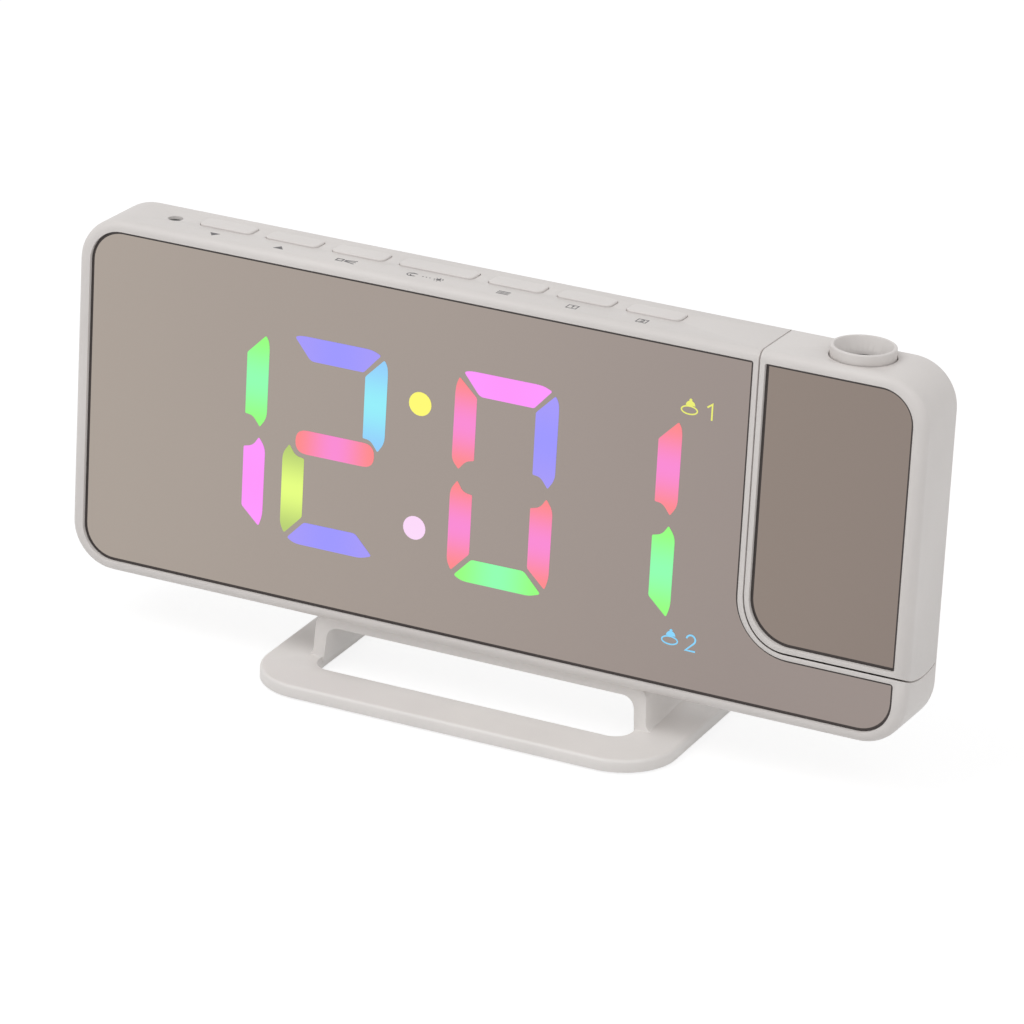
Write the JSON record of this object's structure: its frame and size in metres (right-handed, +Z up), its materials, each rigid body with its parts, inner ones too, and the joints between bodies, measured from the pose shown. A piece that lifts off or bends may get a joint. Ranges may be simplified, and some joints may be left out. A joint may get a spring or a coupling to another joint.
{
  "type": "projection alarm clock",
  "caption": "Mirror-faced alarm clock on an arched stand, with keys along its top and a swivelling time projector at one end.",
  "frame": {"origin": "on the surface the stand rests on, under the middle of the whole object's box", "axes": "+X to the clock's right as seen from the front, the display faces -Y, +Z up"},
  "size_m": [0.2126, 0.0596, 0.1031],
  "materials": {
    "shell_plastic": "warm light grey moulded plastic, fine satin",
    "mirror_film": "half-silvered tinted acrylic",
    "white_plastic": "white moulded plastic",
    "diffuser": "milky diffusing plastic",
    "circuit_board": "solder-masked board",
    "led": "clear resin over the chip",
    "black_plastic": "black moulded plastic",
    "steel": "nickel-plated steel",
    "speaker_metal": "dark painted basket",
    "foot_rubber": "soft pale rubber",
    "lens_glass": "clear moulded lens"
  },
  "bodies": {
    "case": {"front_frame": "shell_plastic", "frame_posts": "shell_plastic", "rear_cover": "shell_plastic", "mirror_panel": "mirror_film", "display_reflector": "white_plastic", "segment_diffusers": "diffuser", "display_board": "circuit_board", "display_leds": "led", "key_switches": "black_plastic", "key_board": "circuit_board", "light_sensor": "black_plastic", "socket_board": "circuit_board", "usb_socket": "steel", "power_inlet": "black_plastic", "speaker": "speaker_metal", "coin_cell": "steel", "battery_contact": "steel", "pivot_bush": "white_plastic", "friction_washer": "steel", "rear_screws": "steel", "stand": "shell_plastic", "stand_screws": "steel", "stand_feet": "foot_rubber"},
    "projector": {"projector_case": "shell_plastic", "projector_cover": "shell_plastic", "projector_mirror": "mirror_film", "pivot_tube": "black_plastic", "retaining_clip": "steel", "optics_tunnel": "black_plastic", "lcd_slide": "lens_glass", "condenser_lens": "lens_glass", "lamp_board": "circuit_board", "projector_lamp": "led", "projector_board": "circuit_board", "flip_switch": "black_plastic", "projector_screws": "steel"},
    "focus": {"focus_ring": "shell_plastic"},
    "lens": {"lens_cell": "black_plastic", "projection_lens": "lens_glass"},
    "flip_button": {"flip_button": "shell_plastic"},
    "battery_cap": {"battery_cap": "shell_plastic"},
    "key_down": {"key_down": "shell_plastic"},
    "key_up": {"key_up": "shell_plastic"},
    "key_project": {"key_project": "shell_plastic"},
    "key_snooze": {"key_snooze": "shell_plastic"},
    "key_mode": {"key_mode": "shell_plastic"},
    "key_alarm_1": {"key_alarm_1": "shell_plastic"},
    "key_alarm_2": {"key_alarm_2": "shell_plastic"}
  },
  "joints": [
    {"name": "projector_turn", "type": "hinge", "parent": "case", "child": "projector", "pos_m": [0.06567, -0.00256, 0.05452], "axis": [1, 0, 0], "range_deg": [-90, 90]},
    {"name": "focus_turn", "type": "hinge", "parent": "projector", "child": "focus", "pos_m": [0.0862, -0.00064, 0.10028], "axis": [0, 0.0419, 0.9991], "range_deg": [0, 120]},
    {"name": "lens_slide", "type": "slide", "parent": "projector", "child": "lens", "axis": [0, 0.0419, 0.9991], "range_m": [0, 0.002]},
    {"name": "flip_press", "type": "slide", "parent": "projector", "child": "flip_button", "axis": [0, -0.9991, 0.0419], "range_m": [0, 0.0008], "stiffness_N_per_m": 200, "springref_m": -0.0015},
    {"name": "battery_cap_turn", "type": "hinge", "parent": "case", "child": "battery_cap", "pos_m": [0.014, 0.00795, 0.06059], "axis": [0, 0.9991, -0.0419], "range_deg": [0, 90]},
    {"name": "key_down_press", "type": "slide", "parent": "case", "child": "key_down", "axis": [0, -0.0419, -0.9991], "range_m": [0, 0.0008], "stiffness_N_per_m": 200, "springref_m": -0.0015},
    {"name": "key_up_press", "type": "slide", "parent": "case", "child": "key_up", "axis": [0, -0.0419, -0.9991], "range_m": [0, 0.0008], "stiffness_N_per_m": 200, "springref_m": -0.0015},
    {"name": "key_project_press", "type": "slide", "parent": "case", "child": "key_project", "axis": [0, -0.0419, -0.9991], "range_m": [0, 0.0008], "stiffness_N_per_m": 200, "springref_m": -0.0015},
    {"name": "key_snooze_press", "type": "slide", "parent": "case", "child": "key_snooze", "axis": [0, -0.0419, -0.9991], "range_m": [0, 0.0008], "stiffness_N_per_m": 200, "springref_m": -0.0015},
    {"name": "key_mode_press", "type": "slide", "parent": "case", "child": "key_mode", "axis": [0, -0.0419, -0.9991], "range_m": [0, 0.0008], "stiffness_N_per_m": 200, "springref_m": -0.0015},
    {"name": "key_alarm_1_press", "type": "slide", "parent": "case", "child": "key_alarm_1", "axis": [0, -0.0419, -0.9991], "range_m": [0, 0.0008], "stiffness_N_per_m": 200, "springref_m": -0.0015},
    {"name": "key_alarm_2_press", "type": "slide", "parent": "case", "child": "key_alarm_2", "axis": [0, -0.0419, -0.9991], "range_m": [0, 0.0008], "stiffness_N_per_m": 200, "springref_m": -0.0015}
  ],
  "couplings": [
    {"joint": "focus_turn", "follows": "lens_slide", "rad_per_m": 1047}
  ]
}
